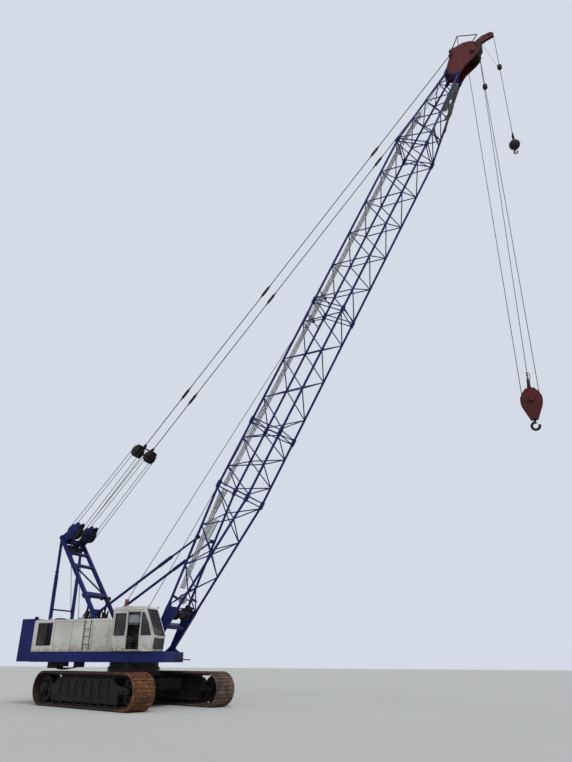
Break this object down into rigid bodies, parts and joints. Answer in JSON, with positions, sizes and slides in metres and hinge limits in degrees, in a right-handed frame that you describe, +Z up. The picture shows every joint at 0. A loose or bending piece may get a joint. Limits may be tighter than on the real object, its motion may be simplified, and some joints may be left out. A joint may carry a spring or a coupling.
{
  "type": "lattice boom crawler crane",
  "caption": "Crawler crane with a raised lattice boom, gantry and stay ropes, main hook block and whip line with headache ball, cab and machinery house.",
  "frame": {"origin": "on the ground under the slewing centre", "axes": "+X forward under the boom, +Y to the machine's left, +Z up; the tracks point 20 degrees to the right of the boom"},
  "size_m": [22.7345, 6.9126, 30.7321],
  "materials": {
    "dark_frame": "matte, greasy",
    "track_steel": "worn, muddy",
    "bare_steel": "dull, oiled",
    "navy_paint": "satin, weathered",
    "white_paint": "satin, dirty",
    "dark_grille": "matte",
    "window_glass": "clear",
    "seat_fabric": "worn",
    "lamp_plastic": "gloss",
    "red_paint": "satin, weathered",
    "galvanised": "dull zinc",
    "stay_rope": "greased wire",
    "hook_iron": "matte"
  },
  "bodies": {
    "undercarriage": {"carbody": "dark_frame", "slew_ring": "bare_steel", "track_frame_right": "dark_frame", "track_frame_left": "dark_frame", "track_right": "track_steel", "track_left": "track_steel", "track_wheels": "dark_frame"},
    "upper_works": {"turntable": "navy_paint", "deck_brackets": "navy_paint", "counterweight": "navy_paint", "house_right": "white_paint", "house_left": "white_paint", "house_grille": "dark_grille", "engine_block": "bare_steel", "winches": "bare_steel", "cab_shell": "white_paint", "cab_front": "white_paint", "cab_glass": "window_glass", "cab_seat": "seat_fabric", "roof_lamp": "lamp_plastic", "grab_rails": "dark_grille", "gantry_mast": "navy_paint", "gantry_stays": "navy_paint"},
    "cab_door": {"cab_door": "white_paint"},
    "right_house_door": {"house_door_right": "white_paint"},
    "left_house_door": {"house_door_left": "white_paint"},
    "luff_head": {"luff_sheaves": "bare_steel"},
    "bridle": {"bridle": "bare_steel"},
    "backstop_sleeves": {"backstop_sleeves": "navy_paint"},
    "backstop_rods": {"backstop_rods": "navy_paint"},
    "boom": {"boom_base": "navy_paint", "boom_insert_short": "navy_paint", "boom_insert_middle": "navy_paint", "boom_insert_long": "navy_paint", "boom_tip": "navy_paint", "boom_head": "red_paint", "head_sheaves": "bare_steel", "nose_arm": "red_paint", "boom_walkway": "galvanised", "boom_winch": "bare_steel", "pendants": "stay_rope"},
    "main_hang": {"main_falls": "stay_rope"},
    "hook_block": {"hook_block": "red_paint"},
    "main_hook": {"main_hook": "hook_iron"},
    "whip_hang": {"whip_line": "stay_rope"},
    "whip_socket": {"whip_socket": "hook_iron"},
    "hook_ball": {"hook_ball": "hook_iron"}
  },
  "joints": [
    {"name": "swing", "type": "hinge", "parent": "undercarriage", "child": "upper_works", "pos_m": [0, 0, 1.49], "axis": [0, 0, 1], "continuous": true},
    {"name": "cab_door_slide", "type": "slide", "parent": "upper_works", "child": "cab_door", "axis": [1, 0, 0], "range_m": [0, 0.6]},
    {"name": "right_house_door_hinge", "type": "hinge", "parent": "upper_works", "child": "right_house_door", "pos_m": [-0.926, -1.675, 2.58], "axis": [0, 0, -1], "range_deg": [0, 110]},
    {"name": "left_house_door_hinge", "type": "hinge", "parent": "upper_works", "child": "left_house_door", "pos_m": [-0.926, 1.675, 2.58], "axis": [0, 0, 1], "range_deg": [0, 110]},
    {"name": "boom_luff", "type": "hinge", "parent": "upper_works", "child": "boom", "pos_m": [1.256, 0, 2.09], "axis": [0, -1, 0], "range_deg": [-31.37, 17.63]},
    {"name": "luff_head_swing", "type": "hinge", "parent": "upper_works", "child": "luff_head", "pos_m": [-3.5, 0, 7], "axis": [0, -1, 0], "range_deg": [-30.8, 17.4]},
    {"name": "luff_reeve", "type": "slide", "parent": "luff_head", "child": "bridle", "axis": [0.647, 0, 0.7625], "range_m": [-2.07, 3.67]},
    {"name": "backstop_swing", "type": "hinge", "parent": "upper_works", "child": "backstop_sleeves", "pos_m": [-1.6, 0.58, 3.53], "axis": [0, -1, 0], "range_deg": [-21.1, 11.9]},
    {"name": "backstop_slide", "type": "slide", "parent": "backstop_sleeves", "child": "backstop_rods", "axis": [0.8491, 0, 0.5283], "range_m": [-0.8, 1.42]},
    {"name": "main_plumb", "type": "hinge", "parent": "boom", "child": "main_hang", "pos_m": [16.62209, 0, 29.36177], "axis": [0, -1, 0], "range_deg": [-17.7, 31.5]},
    {"name": "main_hoist", "type": "slide", "parent": "main_hang", "child": "hook_block", "axis": [0, 0, 1], "range_m": [-6.8, 12.1], "deforming": ["main_falls"]},
    {"name": "main_hook_swivel", "type": "hinge", "parent": "hook_block", "child": "main_hook", "pos_m": [16.62209, 0, 9.7], "axis": [0, 0, 1], "continuous": true},
    {"name": "whip_plumb", "type": "hinge", "parent": "boom", "child": "whip_hang", "pos_m": [17.55461, 0, 30.40216], "axis": [0, -1, 0], "range_deg": [-17.7, 31.5]},
    {"name": "whip_hoist", "type": "slide", "parent": "whip_hang", "child": "whip_socket", "axis": [0, 0, 1], "range_m": [-9, 5.5], "deforming": ["whip_line"]},
    {"name": "ball_swivel", "type": "hinge", "parent": "whip_socket", "child": "hook_ball", "pos_m": [17.73761, 0, 23.08], "axis": [0, 0, 1], "continuous": true}
  ],
  "couplings": [
    {"joint": "luff_head_swing", "follows": "boom_luff", "ratio": 0.976},
    {"joint": "luff_reeve", "follows": "boom_luff", "m_per_rad": -6.673},
    {"joint": "backstop_swing", "follows": "boom_luff", "ratio": 0.667},
    {"joint": "backstop_slide", "follows": "boom_luff", "m_per_rad": -2.579},
    {"joint": "main_plumb", "follows": "boom_luff", "ratio": -1},
    {"joint": "main_hoist", "follows": "boom_luff", "m_per_rad": -22},
    {"joint": "whip_plumb", "follows": "boom_luff", "ratio": -1}
  ]
}
